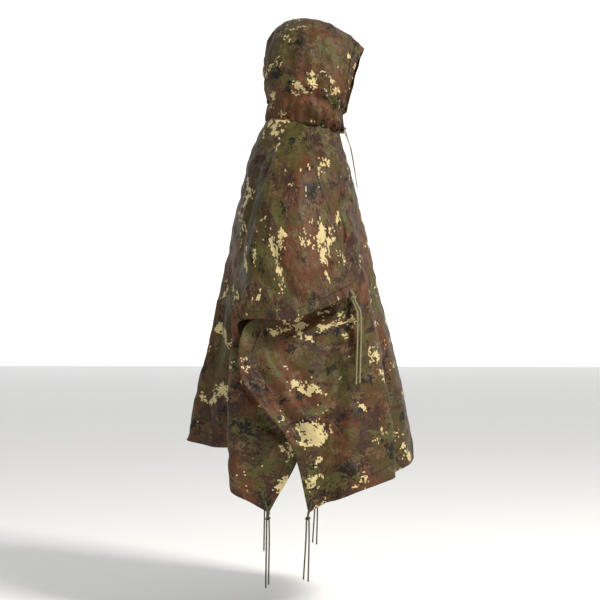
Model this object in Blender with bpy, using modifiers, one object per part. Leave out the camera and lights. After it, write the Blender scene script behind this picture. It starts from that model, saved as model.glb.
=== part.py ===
"""Hooded rain poncho, filled out as it is when worn over bent arms, with nobody inside.

The body is an oblong of proofed cloth in a front and a back half, joined along the shoulder line, with a
hole for the neck. A two-piece hood with a cord casing round the face is sewn into the hole. The edges are
hemmed. Below the arms the front's side edge lies over the back's and is held by press studs, which leaves
a sleeve mouth at each hand. Eyelets at the corners and hands carry tie cords.

Frame: the origin is where the wearer's shoulders hold the cloth up, on the neck's centre line. -Y is the
wearer's front, +X the wearer's left, +Z up. Places in the tables are (out, fore, up): out from the centre
plane, forward of the neck's centre, and up from the shoulders.
"""

import math
from functools import lru_cache

import bmesh
import bpy
import numpy as np
from mathutils import Matrix, Vector
from mathutils.bvhtree import BVHTree

# ---- Driving dimensions, metres ----
CLOTH_WALL = 0.0012
HEM_WALL = 0.0022
NECK_GAP = 0.0016
SHOULDER_GAP = 0.0020
HAND_GAP = 0.0050
EVEN_ROUNDS = 3
NECK_HALF_WIDTH = 0.100
NECK_HALF_DEPTH = 0.106
NECK_TILT = 0.014
HOOD_MID_GAP = 0.0012
CASING_WIDTH = 0.45
EYELET_OUTER = 0.0090
EYELET_HOLE = 0.0050
EYELET_THICK = 0.0046
FIT_GAP = 0.0004
STUD_RADIUS = 0.0070
STUD_THICK = 0.0030
STUD_GAP = 0.0010
TIE_DIAMETER = 0.0046
HOOD_CORD_DIAMETER = 0.0032
KNOT_RADIUS = 0.0066
STEPS_BETWEEN_LINES = 4
STEPS_DOWN_LINE = 20
HOOD_STEPS = (12, 12)
SIDES = (("right", 1.0), ("left", -1.0))

# ---- The two halves of the cloth ----
# A row for each section line that runs down the cloth, from the centre line out to the side edge. "across"
# is how far the line lies from the centre on the flat cloth. A line starts at the neck seam, at its turn in
# degrees round the neck from the front, or at a place on the shoulder line, and passes through places at
# the levels of the side edge's turns: the middle and the end of the sleeve mouth, the first and the last
# press stud, and the hem.
FRONT = (
    # name, across, neck turn or shoulder-line place,
    # then down the cloth to the hem
    ("centre", 0.0, 0.0,
     (0.000, 0.144, -0.141), (0.000, 0.186, -0.318), (0.000, 0.207, -0.414),
     (0.000, 0.291, -0.764), (0.000, 0.334, -0.992)),
    ("breast", 0.13, 45.0,
     (0.080, 0.133, -0.144), (0.105, 0.178, -0.320), (0.115, 0.198, -0.414),
     (0.150, 0.274, -0.772), (0.165, 0.308, -1.012)),
    ("neck_side", 0.25, 90.0,
     (0.155, 0.108, -0.176), (0.185, 0.155, -0.346), (0.205, 0.178, -0.444),
     (0.262, 0.230, -0.815), (0.285, 0.238, -1.043)),
    ("shoulder", 0.38, (0.205, 0.026, -0.087),
     (0.205, 0.089, -0.237), (0.232, 0.141, -0.416), (0.262, 0.167, -0.525),
     (0.318, 0.182, -0.848), (0.345, 0.171, -1.062)),
    ("forearm", 0.54, (0.275, 0.099, -0.304),
     (0.240, 0.127, -0.445), (0.262, 0.133, -0.559), (0.292, 0.108, -0.666),
     (0.350, 0.109, -0.883), (0.362, 0.104, -1.088)),
    ("near_edge", 0.66, (0.290, 0.145, -0.434),
     (0.262, 0.039, -0.559), (0.318, -0.049, -0.641), (0.345, -0.070, -0.710),
     (0.376, 0.035, -0.903), (0.368, 0.062, -1.102)),
    ("edge", 0.725, (0.300, 0.168, -0.508),
     (0.318, -0.035, -0.576), (0.356, -0.140, -0.596), (0.378, -0.164, -0.695),
     (0.394, -0.009, -0.941), (0.365, 0.033, -1.119)),
)
BACK = (
    # name, across, neck turn or shoulder-line place,
    # then down the cloth to the hem
    ("centre", 0.0, 180.0,
     (0.000, -0.141, -0.062), (0.000, -0.195, -0.273), (0.000, -0.220, -0.381),
     (0.000, -0.298, -0.729), (0.000, -0.348, -0.946)),
    ("blade", 0.13, 135.0,
     (0.090, -0.132, -0.082), (0.105, -0.178, -0.287), (0.105, -0.196, -0.398),
     (0.095, -0.232, -0.737), (0.095, -0.259, -0.959)),
    ("neck_side", 0.25, 90.0,
     (0.165, -0.101, -0.095), (0.185, -0.161, -0.308), (0.185, -0.172, -0.415),
     (0.150, -0.166, -0.735), (0.145, -0.146, -0.963)),
    ("shoulder", 0.38, (0.205, 0.026, -0.087),
     (0.265, -0.055, -0.200), (0.300, -0.129, -0.369), (0.285, -0.156, -0.491),
     (0.225, -0.135, -0.789), (0.215, -0.089, -1.003)),
    ("forearm", 0.54, (0.275, 0.099, -0.304),
     (0.358, 0.003, -0.391), (0.350, -0.132, -0.477), (0.318, -0.171, -0.587),
     (0.325, -0.173, -0.919), (0.315, -0.176, -1.061)),
    ("near_edge", 0.66, (0.290, 0.145, -0.434),
     (0.385, -0.012, -0.514), (0.352, -0.171, -0.553), (0.322, -0.179, -0.666),
     (0.352, -0.075, -0.934), (0.340, -0.127, -1.095)),
    ("edge", 0.725, (0.300, 0.168, -0.508),
     (0.392, -0.017, -0.578), (0.354, -0.166, -0.591), (0.308, -0.132, -0.683),
     (0.364, 0.015, -0.918), (0.355, -0.078, -1.121)),
)
HALVES = {"front": FRONT, "back": BACK}
EDGE = len(FRONT) - 1
NECK_SIDE = 2

# ---- The cloth's largest folds ----
# Each follows a route of (line, share of the line) places on its half, and is a ridge out of the face by
# its height, or a trough where the height is below zero. A route that ends at share 1 runs out at the hem.
FOLDS = {
    "front": (
        # name, route, width, height
        ("shoulder_valley", ((1.8, 0.02), (2.4, 0.06), (2.6, 0.10), (2.8, 0.14)), 0.024, -0.014),
        ("sleeve_valley", ((2.3, 0.24), (2.7, 0.28), (2.8, 0.34), (3.8, 0.26)), 0.026, -0.012),
        ("side_trough", ((3.9, 0.48), (3.9, 0.58), (4.0, 0.76), (4.1, 0.92), (4.3, 1.00)), 0.030, -0.026),
        ("front_trough", ((3.8, 0.36), (3.6, 0.52), (3.3, 0.72)), 0.028, -0.018),
        ("pleat_ridge", ((5.4, 0.40), (4.9, 0.52), (4.9, 0.64), (4.9, 0.74)), 0.022, 0.016),
        ("chest_drape", ((1.1, 0.28), (1.0, 0.52), (1.0, 0.76), (1.0, 1.00)), 0.042, -0.018),
    ),
    "back": (
        # name, route, width, height
        ("arm_back", ((1.9, 0.14), (2.2, 0.24), (2.2, 0.34), (2.1, 0.46)), 0.030, -0.014),
        ("elbow_crease", ((3.5, 0.26), (4.1, 0.24), (4.8, 0.22), (5.5, 0.18)), 0.024, -0.010),
        ("back_roll", ((3.1, 0.58), (3.6, 0.76), (3.7, 0.86), (4.2, 1.00)), 0.034, 0.018),
        ("back_hollow", ((2.2, 0.56), (2.1, 0.74), (2.0, 0.86), (2.1, 1.00)), 0.046, -0.026),
        ("back_drape", ((0.6, 0.42), (0.6, 0.62), (0.6, 0.80), (0.6, 1.00)), 0.040, -0.018),
    ),
}
FOLD_SAMPLES = 15
FOLD_REACH = 1.6

# ---- The press studs, down the front half inside its side edge ----
STUDS = ((5.72, 0.47), (5.72, 0.54), (5.72, 0.61), (5.72, 0.68))

# ---- The tie cords, each doubled through an eyelet in the cloth and knotted below it ----
# Where the eyelet is on its half, the knot's place from the eyelet, and the drift of each free strand from
# the knot to its end, all as (out, fore, up).
TIES = (
    # name, half, line, share, knot,
    # strand a, strand b
    ("front_corner", "front", 5.62, 0.974, (0.002, -0.002, -0.015),
     ((0.001, -0.005, -0.060), (0.001, -0.012, -0.170)), ((0.000, 0.004, -0.060), (0.000, 0.001, -0.176))),
    ("back_corner", "back", 5.62, 0.974, (0.001, -0.003, -0.015),
     ((0.001, -0.004, -0.060), (0.001, -0.006, -0.194)), ((0.000, 0.004, -0.060), (0.001, 0.002, -0.185))),
    ("hand", "back", 5.80, 0.020, (0.012, 0.010, -0.018),
     ((0.006, 0.014, -0.045), (0.004, 0.008, -0.244)), ((0.008, 0.024, -0.045), (0.006, 0.018, -0.240))),
)
LEFT_LEAN = 0.050

# ---- The hood's sections, from the middle of the back round to the face edge ----
# Each rises from the neck seam, at its turn round the neck, to the seam over the crown.
HOOD = (
    # name, turn, low, high, crown, top
    ("centre_back", 180.0,
     (0.000, -0.108, 0.075), (0.000, -0.113, 0.150), (0.000, -0.113, 0.190), (0.000, -0.108, 0.235)),
    ("back_side", 150.0,
     (0.062, -0.094, 0.068), (0.072, -0.100, 0.150), (0.050, -0.095, 0.225), (0.000, -0.090, 0.277)),
    ("side_back", 120.0,
     (0.108, -0.057, 0.063), (0.115, -0.060, 0.160), (0.080, -0.054, 0.262), (0.000, -0.048, 0.309)),
    ("side", 92.0,
     (0.125, -0.001, 0.058), (0.132, 0.006, 0.165), (0.090, 0.006, 0.275), (0.000, 0.006, 0.320)),
    ("side_front", 62.0,
     (0.124, 0.061, 0.049), (0.127, 0.072, 0.160), (0.087, 0.077, 0.262), (0.000, 0.080, 0.302)),
    ("front_side", 32.0,
     (0.104, 0.108, 0.039), (0.112, 0.122, 0.140), (0.078, 0.135, 0.228), (0.000, 0.143, 0.267)),
    ("face_edge", 8.0,
     (0.070, 0.131, 0.036), (0.088, 0.151, 0.130), (0.062, 0.169, 0.190), (0.000, 0.187, 0.227)),
)
FACE = len(HOOD) - 1
HOOD_KNOT = (0.000, 0.128, -0.012)
HOOD_STRANDS = (
    ("a", (0.010, 0.022, -0.065), (0.012, 0.036, -0.166)),
    ("b", (-0.006, 0.020, -0.065), (-0.004, 0.038, -0.176)),
)


def place(out, fore, up):
    """A point on the wearer's right, from its place out, fore and up."""
    return np.array((-out, -fore, up))


def neck_point(turn):
    """A point of the oval neck seam, turn degrees round from the front."""
    angle = math.radians(turn)
    return place(
        NECK_HALF_WIDTH * math.sin(angle),
        NECK_HALF_DEPTH * math.cos(angle),
        -NECK_TILT * math.cos(angle),
    )


def mirrored(knots):
    return knots * np.array((-1.0, 1.0, 1.0))


@lru_cache(maxsize=None)
def line_knots(half, number):
    """The knots of a section line; past the centre line they are its neighbour's, mirrored."""
    _, _, start, *places = HALVES[half][abs(number)]
    first = neck_point(start) if isinstance(start, float) else place(*start)
    knots = np.array([first] + [place(*spot) for spot in places])
    return mirrored(knots) if number < 0 else knots


@lru_cache(maxsize=None)
def line_quartet(half, base):
    """Four section lines in a row; past the side edge the cloth runs straight on."""
    before, start, end = (line_knots(half, base + step) for step in (-1, 0, 1))
    after = line_knots(half, base + 2) if base + 2 <= EDGE else 2.0 * end - start
    return before, start, end, after


@lru_cache(maxsize=None)
def hood_knots(number):
    """The knots of a hood section, up one side, over the crown and down the other."""
    _, turn, *places = HOOD[abs(number)]
    rise = np.array([neck_point(turn)] + [place(*spot) for spot in places])
    knots = np.concatenate((rise, mirrored(rise[-2::-1])))
    return mirrored(knots) if number < 0 else knots


@lru_cache(maxsize=None)
def hood_quartet(base):
    """Four hood sections in a row; past the face edge the hood runs straight on."""
    before, start, end = (hood_knots(base + step) for step in (-1, 0, 1))
    after = hood_knots(base + 2) if base + 2 <= FACE else 2.0 * end - start
    return before, start, end, after


def between(before, start, end, after, share):
    """Points that share of the way from start to end, on smooth curves through four rows of knots."""
    spans = [np.linalg.norm(step, axis=1)[:, None] + 1e-4 for step in (start - before, end - start, after - end)]
    slopes = [(start - before) / spans[0], (end - start) / spans[1], (after - end) / spans[2]]
    leave = (slopes[0] * spans[1] + slopes[1] * spans[0]) / (spans[0] + spans[1])
    arrive = (slopes[1] * spans[2] + slopes[2] * spans[1]) / (spans[1] + spans[2])
    rise = share * share * (3.0 - 2.0 * share)
    bend = leave * share * (1.0 - share) ** 2 + arrive * share * share * (share - 1.0)
    return (1.0 - rise) * start + rise * end + spans[1] * bend


def smooth_through(knots, share):
    """The point at that share of the way along a smooth curve through knots, paced by their spacing."""
    spans = np.linalg.norm(np.diff(knots, axis=0), axis=1) + 1e-6
    marks = np.concatenate(([0.0], np.cumsum(spans))) / spans.sum()
    slopes = np.gradient(knots, marks, axis=0)
    index = int(np.clip(np.searchsorted(marks, share) - 1, 0, len(spans) - 1))
    width = marks[index + 1] - marks[index]
    local = (share - marks[index]) / width
    rise = local * local * (3.0 - 2.0 * local)
    leave = local * (1.0 - local) ** 2
    arrive = local * local * (local - 1.0)
    return (
        (1.0 - rise) * knots[index]
        + rise * knots[index + 1]
        + width * (leave * slopes[index] + arrive * slopes[index + 1])
    )


@lru_cache(maxsize=None)
def knots_at(half, line):
    """The knots of a line between two section lines; it starts on the oval neck seam or the shoulder line."""
    base = min(int(line), EDGE - 1)
    knots = between(*line_quartet(half, base), line - base)
    if line < NECK_SIDE:
        turns = [row[2] for row in HALVES[half][: NECK_SIDE + 1]]
        knots[0] = neck_point(np.interp(line, range(NECK_SIDE + 1), turns))
    else:
        knots[0] = np.mean([between(*line_quartet(name, base), line - base)[0] for name in HALVES], axis=0)
    return knots


def plain_point(half, line, share):
    """The cloth before its folds, at a section line's number and share of the way down to the hem."""
    return smooth_through(knots_at(half, line), share)


def outwards(where, half, line, share, step=0.02):
    """The unit direction out of the cloth's face, for cloth given as a function of line and share."""
    across = where(half, line + step, share) - where(half, max(line - step, 0.0), share)
    down = where(half, line, min(share + step, 1.0)) - where(half, line, max(share - step, 0.0))
    square = np.cross(across, down) if half == "front" else np.cross(down, across)
    return square / np.linalg.norm(square)


@lru_cache(maxsize=None)
def fold_path(half, number):
    """Evenly paced points of a fold's crest, on the cloth before its folds."""
    route = np.array(FOLDS[half][number][1])
    marks = np.linspace(0.0, len(route) - 1.0, FOLD_SAMPLES)
    lines = np.interp(marks, range(len(route)), route[:, 0])
    shares = np.interp(marks, range(len(route)), route[:, 1])
    return np.array([plain_point(half, line, share) for line, share in zip(lines, shares)])


def fold_rise(half, point, line):
    """How far all the folds together lift the cloth out of its face at a point."""
    rise = 0.0
    for number, (_, route, width, height) in enumerate(FOLDS[half]):
        lines = [spot[0] for spot in route]
        if not min(lines) - FOLD_REACH < line < max(lines) + FOLD_REACH:
            continue
        apart = np.linalg.norm(fold_path(half, number) - point, axis=1)
        nearest = int(apart.argmin())
        fade = math.sin(math.pi * (nearest + 1.0) / (FOLD_SAMPLES + 1.0)) ** 0.5
        if max(spot[1] for spot in route) >= 1.0 and nearest > FOLD_SAMPLES // 2:
            fade = 1.0
        rise += height * fade * math.exp(-((apart[nearest] / width) ** 2))
    return rise


def cloth_point(half, line, share):
    """A point of the cloth with its folds."""
    point = plain_point(half, line, share)
    rise = fold_rise(half, point, line)
    return point + outwards(plain_point, half, line, share) * rise if abs(rise) > 1e-5 else point


@lru_cache(maxsize=None)
def line_length(half, number):
    """How long the cloth is down a section line."""
    points = np.array([plain_point(half, number, share) for share in np.linspace(0.0, 1.0, 13)])
    return np.linalg.norm(np.diff(points, axis=0), axis=1).sum()


def side_point(half, line, share):
    """A point of the cloth on either side, the left below zero, where the back corner hangs further back."""
    point = cloth_point(half, abs(line), share)
    if line >= 0.0:
        return point
    lean = LEFT_LEAN * (line / EDGE) ** 2 * share**3 if half == "back" else 0.0
    return mirrored(point) + np.array((0.0, lean, 0.0))


def share_of(half, line, distance):
    """A distance down the cloth, as a share of the line there."""
    base = min(int(line), EDGE - 1)
    part = line - base
    return distance / ((1.0 - part) * line_length(half, base) + part * line_length(half, base + 1))


def new_collection(name):
    collection = bpy.data.collections.new(name)
    bpy.context.scene.collection.children.link(collection)
    return collection


def new_material(name, colour, roughness, metallic=0.0):
    material = bpy.data.materials.new(name)
    material.use_nodes = True
    shader = material.node_tree.nodes["Principled BSDF"]
    shader.inputs["Base Color"].default_value = (*colour, 1.0)
    shader.inputs["Roughness"].default_value = roughness
    shader.inputs["Metallic"].default_value = metallic
    return material


def new_piece(name, data, collection, material):
    piece = bpy.data.objects.new(name, data)
    collection.objects.link(piece)
    data.materials.append(material)
    return piece


def finished_mesh(form, name):
    mesh = bpy.data.meshes.new(name)
    form.to_mesh(mesh)
    form.free()
    mesh.shade_smooth()
    return mesh


def cloth_grid(name, columns, rows, where, rounds=0):
    """A grid of cloth whose points are where(column share, row share), evened out inside its outline."""
    form = bmesh.new()
    bmesh.ops.create_grid(form, x_segments=columns, y_segments=rows, size=0.5)
    for vert in form.verts:
        vert.co = where(vert.co.x + 0.5, vert.co.y + 0.5)
    inner = [vert for vert in form.verts if not vert.is_boundary]
    for _ in range(rounds):
        bmesh.ops.smooth_vert(form, verts=inner, factor=0.5, use_axis_x=True, use_axis_y=True, use_axis_z=True)
    bmesh.ops.recalc_face_normals(form, faces=form.faces)
    return finished_mesh(form, name)


def add_wall(piece, thickness):
    wall = piece.modifiers.new("wall", "SOLIDIFY")
    wall.thickness = thickness
    wall.offset = 0.0
    wall.use_even_offset = False


def build_half(half, collection, cloth):
    """One half of the oblong; its edge runs down one side, along the hem and up the other side."""

    def where(column, row):
        line = EDGE * (2.0 * column - 1.0)
        start = top_share(half, abs(line))
        return side_point(half, line, start + (1.0 - start) * row)

    columns = 2 * EDGE * STEPS_BETWEEN_LINES
    mesh = cloth_grid(f"{half}_panel", columns, STEPS_DOWN_LINE, where, EVEN_ROUNDS)
    add_wall(new_piece(f"{half}_panel", mesh, collection, cloth), CLOTH_WALL)


def top_share(half, line):
    """Where the cloth starts: a step down from the neck seam or the shoulder line, and a larger one at the hand."""
    gap = np.interp(line, (NECK_SIDE - 0.5, NECK_SIDE, EDGE - 2.0, EDGE), (NECK_GAP, SHOULDER_GAP, SHOULDER_GAP, HAND_GAP))
    return share_of(half, line, gap)


def hood_point(section, share):
    """A point of the hood: share 0 is the neck seam on the right, 0.5 the crown, 1 the seam on the left."""
    base = min(int(section), FACE - 1)
    return smooth_through(between(*hood_quartet(base), section - base), share)


def build_hood(collection, cloth):
    """Two mirrored halves sewn over the crown, and the casing for the cord round the face."""
    neck_gap = 0.005
    body_end = FACE - CASING_WIDTH - 0.03
    for side_name, side in SIDES:

        def where(column, row, side=side):
            point = hood_point(body_end * column, neck_gap + (0.5 - neck_gap) * row)
            point[0] = min(point[0], -HOOD_MID_GAP)
            return point * np.array((side, 1.0, 1.0))

        name = f"hood_{side_name}"
        piece = new_piece(name, cloth_grid(name, *HOOD_STEPS, where), collection, cloth)
        add_wall(piece, CLOTH_WALL)

    def casing(column, row):
        return hood_point(FACE - CASING_WIDTH * row, neck_gap + (1.0 - 2.0 * neck_gap) * column)

    mesh = cloth_grid("hood_casing", 2 * HOOD_STEPS[1], 1, casing)
    add_wall(new_piece("hood_casing", mesh, collection, cloth), HEM_WALL)


@lru_cache(maxsize=None)
def cloth_tree(half):
    form = bmesh.new()
    form.from_mesh(bpy.data.objects[f"{half}_panel"].data)
    return BVHTree.FromBMesh(form)


def cloth_spot(half, side, line, share):
    """The nearest place on the finished cloth to a line and share, and the direction out of its face."""
    spot, normal, _, _ = cloth_tree(half).find_nearest(Vector(side_point(half, side * line, share)))
    outward = outwards(cloth_point, half, line, share)
    outward[0] *= side
    return spot, normal if normal.dot(Vector(outward)) > 0.0 else -normal


def spot_matrix(half, side, line, share, lift=0.0):
    """The frame of a thing set on the cloth: its Z axis is out of the face, and it is lifted along it."""
    spot, normal = cloth_spot(half, side, line, share)
    return Matrix.Translation(spot + lift * normal) @ normal.to_track_quat("Z", "Y").to_matrix().to_4x4()


def new_round(name, radii, depth, segments, collection, material):
    """A disc or short cone, centred on its own Z axis."""
    form = bmesh.new()
    bmesh.ops.create_cone(
        form, cap_ends=True, segments=segments, radius1=radii[0], radius2=radii[1], depth=depth
    )
    return new_piece(name, finished_mesh(form, name), collection, material)


def new_eyelet(name, collection, material):
    """A metal ring, turned about its own Z axis."""
    half_thick = EYELET_THICK / 2.0
    corners = ((EYELET_HOLE, half_thick), (EYELET_OUTER, half_thick))
    corners += ((EYELET_OUTER, -half_thick), (EYELET_HOLE, -half_thick))
    form = bmesh.new()
    verts = [form.verts.new((radius, 0.0, height)) for radius, height in corners]
    for number, vert in enumerate(verts):
        form.edges.new((verts[number - 1], vert))
    ring = new_piece(name, finished_mesh(form, name), collection, material)
    turned = ring.modifiers.new("turned", "SCREW")
    turned.steps = 16
    turned.render_steps = 16
    turned.use_merge_vertices = True
    turned.merge_threshold = 0.00001
    turned.use_normal_calculate = True
    turned.use_normal_flip = True
    return ring


def new_cord(name, points, diameter, collection, material):
    curve = bpy.data.curves.new(name, "CURVE")
    curve.dimensions = "3D"
    curve.bevel_depth = diameter / 2.0
    curve.bevel_resolution = 1
    curve.use_fill_caps = True
    spline = curve.splines.new("POLY")
    spline.points.add(len(points) - 1)
    for knot, point in zip(spline.points, points):
        knot.co = (*point, 1.0)
    return new_piece(name, curve, collection, material)


def new_knot(name, centre, collection, material):
    form = bmesh.new()
    bmesh.ops.create_uvsphere(form, u_segments=8, v_segments=6, radius=KNOT_RADIUS)
    knot = new_piece(name, finished_mesh(form, name), collection, material)
    knot.location = centre


def hanging_strand(name, centre, number, drifts, diameter, collection, material):
    """A free strand from just below a knot to its end; the two of a knot start side by side."""
    centre = np.array(centre)
    start = centre + np.array((0.0, (number - 0.5) * -1.5 * diameter, -KNOT_RADIUS - 2.0 * FIT_GAP))
    points = [start] + [centre + place(*drift) for drift in drifts]
    marks = np.linspace(0.0, 1.0, 9)
    new_cord(name, [smooth_through(np.array(points), mark) for mark in marks], diameter, collection, material)


def build_studs(collection, metal):
    for side_name, side in SIDES:
        for number, (line, share) in enumerate(STUDS):
            name = f"stud_{side_name}_{number + 1}"
            stud = new_round(name, (STUD_RADIUS, 0.75 * STUD_RADIUS), STUD_THICK, 12, collection, metal)
            lift = (CLOTH_WALL + STUD_THICK) / 2.0 + STUD_GAP
            stud.matrix_world = spot_matrix("front", side, line, share, lift)


def build_ties(collection, cutters, metal, cord):
    """The eyelets in their holes, and on each a cord looped through it, its knot and its two free strands."""
    for tie_name, half, line, share, knot, *strands in TIES:
        for side_name, side in SIDES:
            name = f"{tie_name}_{side_name}"
            frame = spot_matrix(half, side, line, share)
            new_eyelet(f"eyelet_{name}", collection, metal).matrix_world = frame
            radius = EYELET_OUTER + FIT_GAP
            cutter = new_round(f"cut_{name}", (radius, radius), 0.03, 24, cutters, metal)
            cutter.matrix_world = frame
            cutter.hide_render = True
            cutter.display_type = "WIRE"
            hole = bpy.data.objects[f"{half}_panel"].modifiers.new(f"hole_{name}", "BOOLEAN")
            hole.object = cutter
            hole.solver = "EXACT"

            eyelet = frame.translation
            normal = frame.col[2].xyz
            hang = "hand" if tie_name == "hand" else "corner"
            tip, tip_normal = cloth_spot(half, side, float(EDGE), 1.0) if hang == "corner" else (eyelet, normal)
            centre = tip + Vector(place(*knot) * np.array((side, 1.0, 1.0)))
            top = centre + Vector((0.0, 0.0, KNOT_RADIUS + TIE_DIAMETER))
            route = [top + 0.0045 * tip_normal, eyelet + 0.0075 * normal, eyelet, eyelet - 0.0075 * normal]
            if hang == "corner":
                route.insert(1, tip + 0.0065 * tip_normal)
                route += [tip - 0.0065 * tip_normal, top - 0.0045 * tip_normal]
            new_cord(f"tie_loop_{name}", route, TIE_DIAMETER, collection, cord)
            new_knot(f"tie_knot_{name}", centre, collection, cord)
            for number, drifts in enumerate(strands):
                drifts = [np.array(drift) * np.array((side, 1.0, 1.0)) for drift in drifts]
                strand = f"tie_{'ab'[number]}_{name}"
                hanging_strand(strand, centre, number, drifts, TIE_DIAMETER, collection, cord)


def build_hood_cord(collection, cord):
    centre = place(*HOOD_KNOT)
    new_knot("hood_cord_knot", centre, collection, cord)
    for number, (letter, *drifts) in enumerate(HOOD_STRANDS):
        name = f"hood_cord_{letter}"
        hanging_strand(name, centre, number, drifts, HOOD_CORD_DIAMETER, collection, cord)


def main():
    for old in list(bpy.data.objects):
        bpy.data.objects.remove(old)
    collection = new_collection("rain_poncho")
    cutters = new_collection("cutters")
    cloth = new_material("camouflage_cloth", (0.10, 0.085, 0.045), 0.55)
    metal = new_material("dark_metal", (0.05, 0.05, 0.045), 0.35, 0.9)
    cord = new_material("olive_cord", (0.10, 0.11, 0.05), 0.85)
    for half in HALVES:
        build_half(half, collection, cloth)
    build_hood(collection, cloth)
    build_studs(collection, metal)
    build_ties(collection, cutters, metal, cord)
    build_hood_cord(collection, cord)


main()
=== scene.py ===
import math
from functools import lru_cache

import bmesh
import bpy
import numpy as np
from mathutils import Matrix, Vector, noise


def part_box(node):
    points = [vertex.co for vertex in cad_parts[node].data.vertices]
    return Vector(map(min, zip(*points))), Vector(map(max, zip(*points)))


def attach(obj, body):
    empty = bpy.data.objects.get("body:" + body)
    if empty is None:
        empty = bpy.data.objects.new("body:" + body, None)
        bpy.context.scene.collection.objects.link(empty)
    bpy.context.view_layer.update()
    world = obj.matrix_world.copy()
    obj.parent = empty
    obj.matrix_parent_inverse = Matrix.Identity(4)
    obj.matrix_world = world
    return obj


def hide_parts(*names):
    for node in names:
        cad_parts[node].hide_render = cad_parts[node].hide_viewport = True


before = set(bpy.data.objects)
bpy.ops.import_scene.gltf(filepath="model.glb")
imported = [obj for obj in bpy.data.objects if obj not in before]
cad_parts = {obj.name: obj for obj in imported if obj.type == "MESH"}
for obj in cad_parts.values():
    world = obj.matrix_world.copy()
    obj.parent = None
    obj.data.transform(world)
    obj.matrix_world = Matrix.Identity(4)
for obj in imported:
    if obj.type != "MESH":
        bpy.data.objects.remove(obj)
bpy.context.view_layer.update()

# ---- Camera: the wearer's right side, straight on at the height of the hands ----
AZIMUTH = math.radians(-87.6)
AIM = Vector((0.0, 0.006, -0.525))
CAMERA_DISTANCE = 5.2
back = Vector((math.sin(AZIMUTH), -math.cos(AZIMUTH), 0.0))
camera_data = bpy.data.cameras.new("camera")
camera_data.sensor_width = 36.0
camera_data.lens = 104.0
camera = bpy.data.objects.new("camera", camera_data)
bpy.context.scene.collection.objects.link(camera)
camera.location = AIM + CAMERA_DISTANCE * back
camera.rotation_mode = "QUATERNION"
camera.rotation_quaternion = (-back).to_track_quat("-Z", "Y")
bpy.context.scene.camera = camera
bpy.context.scene.view_settings.view_transform = "Standard"

# ---- Tie cords: braided nylon, doubled through the eyelets at the corners and hands and knotted below ----
# Six of them. Each is a cord put through its eyelet as a loop, tied in an overhand knot just below the
# cloth's tip, and left with two free ends. The strands are 4.6 mm thick and hang straight down.
TIE_DIAMETER = 0.0046
TIE_KNOT_RADIUS = 0.0042
TIE_KNOT_CORD = 0.0040
TIE_KNOT_DROP = 0.0045
LOOP_NEAR = 0.0040
LOOP_FAR = 0.0085
LOOP_AT_TIP = 0.0065
LOOP_ABOVE_KNOT = 0.0055
CORNER_TIE_COLOUR = (0.050, 0.052, 0.020)
HAND_TIE_COLOUR = (0.200, 0.185, 0.095)
TIES = (
    # name, knot from the cloth's tip, then from the knot the drifts of strand a and of strand b
    ("front_corner", (0.002, -0.002, -0.015),
     ((0.001, -0.005, -0.060), (0.001, -0.012, -0.170)),
     ((0.000, 0.004, -0.060), (0.000, 0.001, -0.176))),
    ("back_corner", (0.001, -0.003, -0.015),
     ((0.001, -0.004, -0.060), (0.001, -0.006, -0.194)),
     ((0.000, 0.004, -0.060), (0.001, 0.002, -0.185))),
    ("hand", None,
     ((0.006, 0.014, -0.045), (0.004, 0.008, -0.244)),
     ((0.008, 0.024, -0.045), (0.006, 0.018, -0.240))),
)


def node_tree(name, colour, roughness):
    """A material, and its shader with its own colour and roughness set."""
    material = bpy.data.materials.new(name)
    material.use_nodes = True
    shader = material.node_tree.nodes["Principled BSDF"]
    shader.inputs["Base Color"].default_value = (*colour, 1.0)
    shader.inputs["Roughness"].default_value = roughness
    return material, shader


def add_node(material, kind, inputs=(), **settings):
    """A node with its settings, and each input given a value or linked from another node's socket."""
    node = material.node_tree.nodes.new(kind)
    for key, value in settings.items():
        setattr(node, key, value)
    for socket, value in dict(inputs).items():
        if isinstance(value, bpy.types.NodeSocket):
            material.node_tree.links.new(value, node.inputs[socket])
        else:
            node.inputs[socket].default_value = value
    return node


def add_math(material, operation, *values):
    """One step of arithmetic on numbers or sockets."""
    return add_node(material, "ShaderNodeMath", dict(enumerate(values)), operation=operation).outputs[0]


def add_bump(material, shader, height, strength, distance):
    """Relief on the shader, from a height socket."""
    inputs = {"Strength": strength, "Distance": distance, "Height": height}
    bump = add_node(material, "ShaderNodeBump", inputs)
    material.node_tree.links.new(bump.outputs["Normal"], shader.inputs["Normal"])


def cord_material(name, colour):
    """Braided cord: a fine criss-cross relief and slightly uneven colour."""
    material, shader = node_tree(name, colour, 0.75)
    places = add_node(material, "ShaderNodeTexCoord").outputs["Object"]
    braid = {"Vector": places, "Scale": 190.0, "Distortion": 2.0}
    waves = add_node(material, "ShaderNodeTexWave", braid, bands_direction="DIAGONAL")
    spots = add_node(material, "ShaderNodeTexNoise", {"Vector": places, "Scale": 420.0})
    ramp = add_node(material, "ShaderNodeValToRGB", {"Fac": spots.outputs["Fac"]})
    ramp.color_ramp.elements[0].position = 0.35
    ramp.color_ramp.elements[0].color = (*[0.55 * channel for channel in colour], 1.0)
    ramp.color_ramp.elements[1].position = 0.65
    ramp.color_ramp.elements[1].color = (*[1.35 * channel for channel in colour], 1.0)
    material.node_tree.links.new(ramp.outputs["Color"], shader.inputs["Base Color"])
    add_bump(material, shader, waves.outputs["Fac"], 0.6, 0.0008)
    return material


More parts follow.
